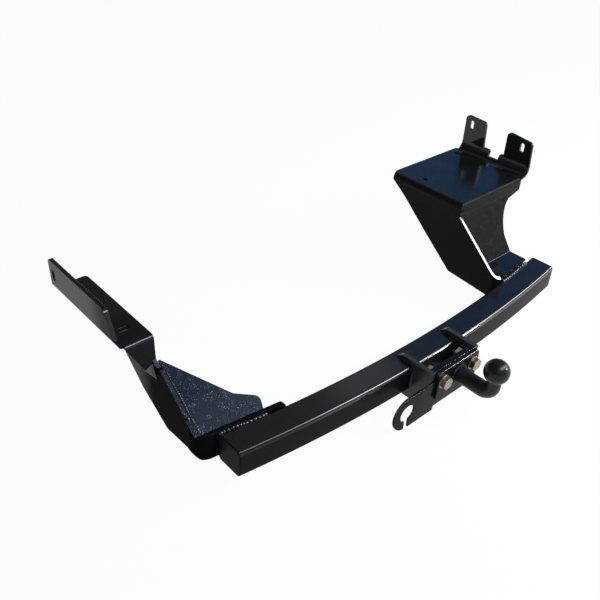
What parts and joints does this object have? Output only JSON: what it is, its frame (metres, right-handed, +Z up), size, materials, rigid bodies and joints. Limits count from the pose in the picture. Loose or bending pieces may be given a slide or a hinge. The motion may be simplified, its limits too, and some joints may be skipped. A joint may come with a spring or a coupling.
{
  "type": "trailer hitch",
  "caption": "Fixed-ball tow bar: bowed square crossbar with a bolted ball flange in the middle and a folded chassis bracket at each end.",
  "frame": {"origin": "centre of the tow ball", "axes": "+X across the vehicle, left to right as seen from behind it, +Y forward under the vehicle, +Z up"},
  "size_m": [1.131, 0.639, 0.3318],
  "materials": {
    "powder_coat": "gloss",
    "zinc_yellow": "satin",
    "cap_plastic": "satin"
  },
  "bodies": {
    "root": {"crossbar_tube": "powder_coat", "left_end_cap": "cap_plastic", "right_end_cap": "cap_plastic", "left_cheek": "powder_coat", "right_cheek": "powder_coat", "cheek_welds": "powder_coat", "face_plate": "powder_coat", "face_plate_welds": "powder_coat", "hook_plate": "powder_coat", "ball_flange": "powder_coat", "ball_neck": "powder_coat", "neck_weld": "powder_coat", "flange_washers": "zinc_yellow", "flange_bolts": "zinc_yellow", "flange_nuts": "zinc_yellow", "left_rail_angle": "powder_coat", "tongue_weld": "powder_coat", "left_side_plate": "powder_coat", "left_leg_weld": "powder_coat", "left_gusset": "powder_coat", "left_gusset_weld": "powder_coat", "right_tray": "powder_coat", "right_side_plate": "powder_coat", "right_web": "powder_coat", "web_weld": "powder_coat", "right_foot_weld": "powder_coat"}
  },
  "joints": []
}
